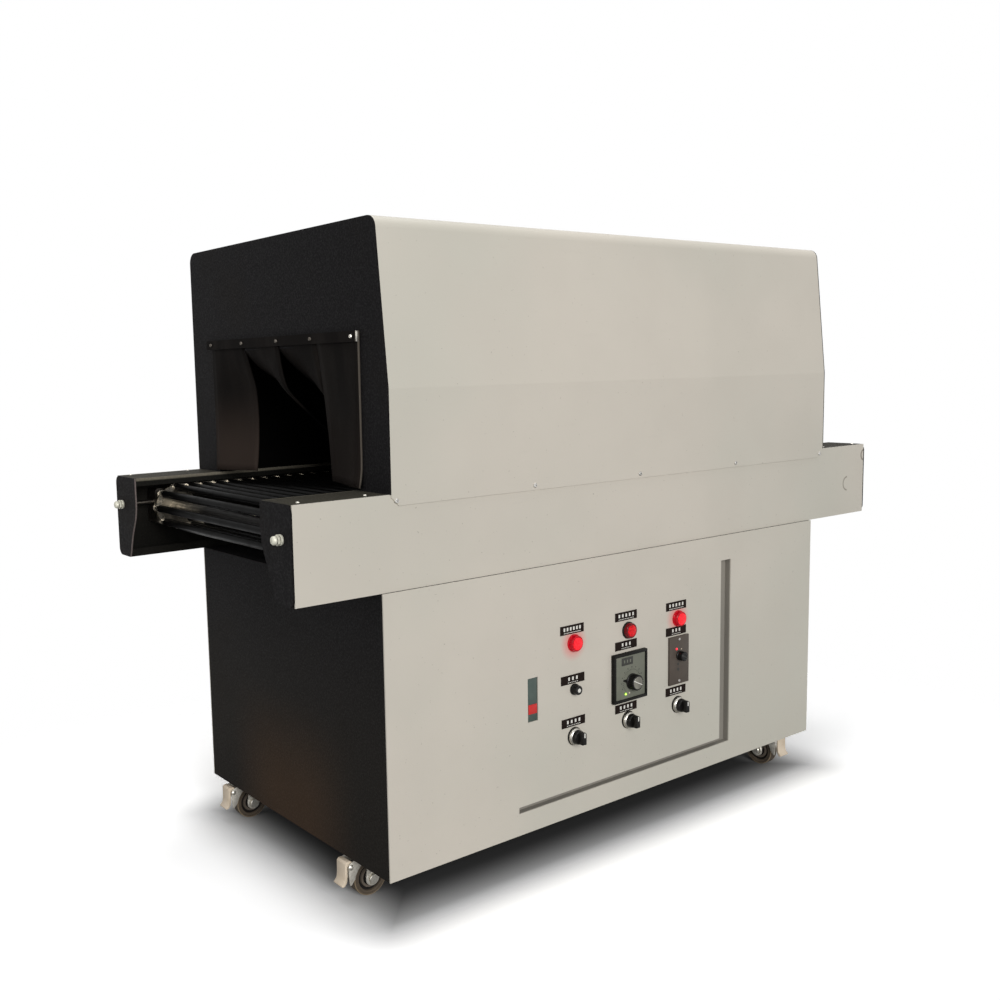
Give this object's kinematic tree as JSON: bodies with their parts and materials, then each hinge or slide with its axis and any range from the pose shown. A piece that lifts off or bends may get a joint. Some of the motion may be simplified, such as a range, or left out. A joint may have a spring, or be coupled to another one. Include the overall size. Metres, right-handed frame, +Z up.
{
  "type": "battery heat shrink machine",
  "caption": "Heat shrink tunnel on a rod conveyor: hood with curtained mouths over a chain-and-rod bed, on a closed cabinet with a control panel and braked swivel casters.",
  "frame": {"origin": "on the floor under the middle of the machine's bounding box", "axes": "+X the way the product travels, -Y the control panel's side, +Z up"},
  "size_m": [1.362, 0.618, 0.997],
  "materials": {
    "light_grey_paint": "satin powder coat",
    "groove_grey_paint": "satin, in shade",
    "black_texture_paint": "fine textured powder coat",
    "dark_grey_paint": "satin",
    "bright_steel": "bright, lightly oiled",
    "oiled_steel": "dark, oiled",
    "black_rod": "black sleeve, satin",
    "zinc_steel": "zinc plated",
    "liner_steel": "heat darkened",
    "curtain_rubber": "matte, slightly brown",
    "red_lens": "lit red lens",
    "chrome_ring": "polished ring over black",
    "black_plastic": "moulded",
    "black_gloss_plastic": "moulded knob",
    "brown_grey_plate": "satin plate",
    "caster_zinc": "zinc plated pressing",
    "wheel_rubber": "grey brown wheel"
  },
  "bodies": {
    "machine": {"front_panel": "light_grey_paint", "groove_tray": "groove_grey_paint", "rear_panel": "light_grey_paint", "infeed_side_panel": "black_texture_paint", "outfeed_side_panel": "black_texture_paint", "cabinet_base": "black_texture_paint", "cabinet_deck": "black_texture_paint", "front_channel": "dark_grey_paint", "rear_channel": "dark_grey_paint", "front_skirt": "light_grey_paint", "rear_skirt": "light_grey_paint", "channel_end_caps": "black_texture_paint", "front_chain": "bright_steel", "rear_chain": "bright_steel", "conveyor_rods": "black_rod", "infeed_shaft": "oiled_steel", "outfeed_shaft": "oiled_steel", "takeup_blocks": "black_texture_paint", "tension_bolts": "zinc_steel", "hood_cover": "light_grey_paint", "infeed_hood_end": "black_texture_paint", "outfeed_hood_end": "black_texture_paint", "tunnel_liner": "liner_steel", "infeed_curtain": "curtain_rubber", "outfeed_curtain": "curtain_rubber", "curtain_clamps": "dark_grey_paint", "indicator_lamps": "red_lens", "selector_bezels": "chrome_ring", "fuse_holder": "black_plastic", "temperature_controller": "black_plastic", "speed_controller": "brown_grey_plate", "power_breaker": "black_plastic", "caster_plates": "zinc_steel"},
    "swivel_infeed_front": {"caster_fork_infeed_front": "caster_zinc"},
    "wheel_infeed_front": {"caster_wheel_infeed_front": "wheel_rubber"},
    "swivel_infeed_rear": {"caster_fork_infeed_rear": "caster_zinc"},
    "wheel_infeed_rear": {"caster_wheel_infeed_rear": "wheel_rubber"},
    "swivel_outfeed_front": {"caster_fork_outfeed_front": "caster_zinc"},
    "wheel_outfeed_front": {"caster_wheel_outfeed_front": "wheel_rubber"},
    "swivel_outfeed_rear": {"caster_fork_outfeed_rear": "caster_zinc"},
    "wheel_outfeed_rear": {"caster_wheel_outfeed_rear": "wheel_rubber"},
    "selector_left": {"selector_knob_left": "black_gloss_plastic"},
    "selector_middle": {"selector_knob_middle": "black_gloss_plastic"},
    "selector_right": {"selector_knob_right": "black_gloss_plastic"},
    "temperature_dial": {"temperature_knob": "black_gloss_plastic"},
    "speed_dial": {"speed_knob": "black_gloss_plastic"}
  },
  "joints": [
    {"name": "swivel_infeed_front", "type": "hinge", "parent": "machine", "child": "swivel_infeed_front", "pos_m": [-0.4646, -0.167, 0.0855], "axis": [0, 0, 1], "continuous": true},
    {"name": "roll_infeed_front", "type": "hinge", "parent": "swivel_infeed_front", "child": "wheel_infeed_front", "pos_m": [-0.4866, -0.167, 0.029], "axis": [0, 1, 0], "continuous": true},
    {"name": "swivel_infeed_rear", "type": "hinge", "parent": "machine", "child": "swivel_infeed_rear", "pos_m": [-0.4646, 0.207, 0.0855], "axis": [0, 0, 1], "continuous": true},
    {"name": "roll_infeed_rear", "type": "hinge", "parent": "swivel_infeed_rear", "child": "wheel_infeed_rear", "pos_m": [-0.4866, 0.207, 0.029], "axis": [0, 1, 0], "continuous": true},
    {"name": "swivel_outfeed_front", "type": "hinge", "parent": "machine", "child": "swivel_outfeed_front", "pos_m": [0.4214, -0.197, 0.0855], "axis": [0, 0, 1], "continuous": true},
    {"name": "roll_outfeed_front", "type": "hinge", "parent": "swivel_outfeed_front", "child": "wheel_outfeed_front", "pos_m": [0.4214, -0.219, 0.029], "axis": [1, 0, 0], "continuous": true},
    {"name": "swivel_outfeed_rear", "type": "hinge", "parent": "machine", "child": "swivel_outfeed_rear", "pos_m": [0.4214, 0.207, 0.0855], "axis": [0, 0, 1], "continuous": true},
    {"name": "roll_outfeed_rear", "type": "hinge", "parent": "swivel_outfeed_rear", "child": "wheel_outfeed_rear", "pos_m": [0.4434, 0.207, 0.029], "axis": [0, 1, 0], "continuous": true},
    {"name": "turn_selector_left", "type": "hinge", "parent": "machine", "child": "selector_left", "pos_m": [-0.1606, -0.29, 0.203], "axis": [0, -1, 0], "range_deg": [-45, 45]},
    {"name": "turn_selector_middle", "type": "hinge", "parent": "machine", "child": "selector_middle", "pos_m": [-0.0356, -0.29, 0.203], "axis": [0, -1, 0], "range_deg": [-45, 45]},
    {"name": "turn_selector_right", "type": "hinge", "parent": "machine", "child": "selector_right", "pos_m": [0.0894, -0.29, 0.203], "axis": [0, -1, 0], "range_deg": [-45, 45]},
    {"name": "turn_temperature_dial", "type": "hinge", "parent": "machine", "child": "temperature_dial", "pos_m": [-0.0326, -0.2893, 0.269], "axis": [0, -1, 0], "range_deg": [-135, 135]},
    {"name": "turn_speed_dial", "type": "hinge", "parent": "machine", "child": "speed_dial", "pos_m": [0.0894, -0.287, 0.2905], "axis": [0, -1, 0], "range_deg": [-135, 135]}
  ]
}
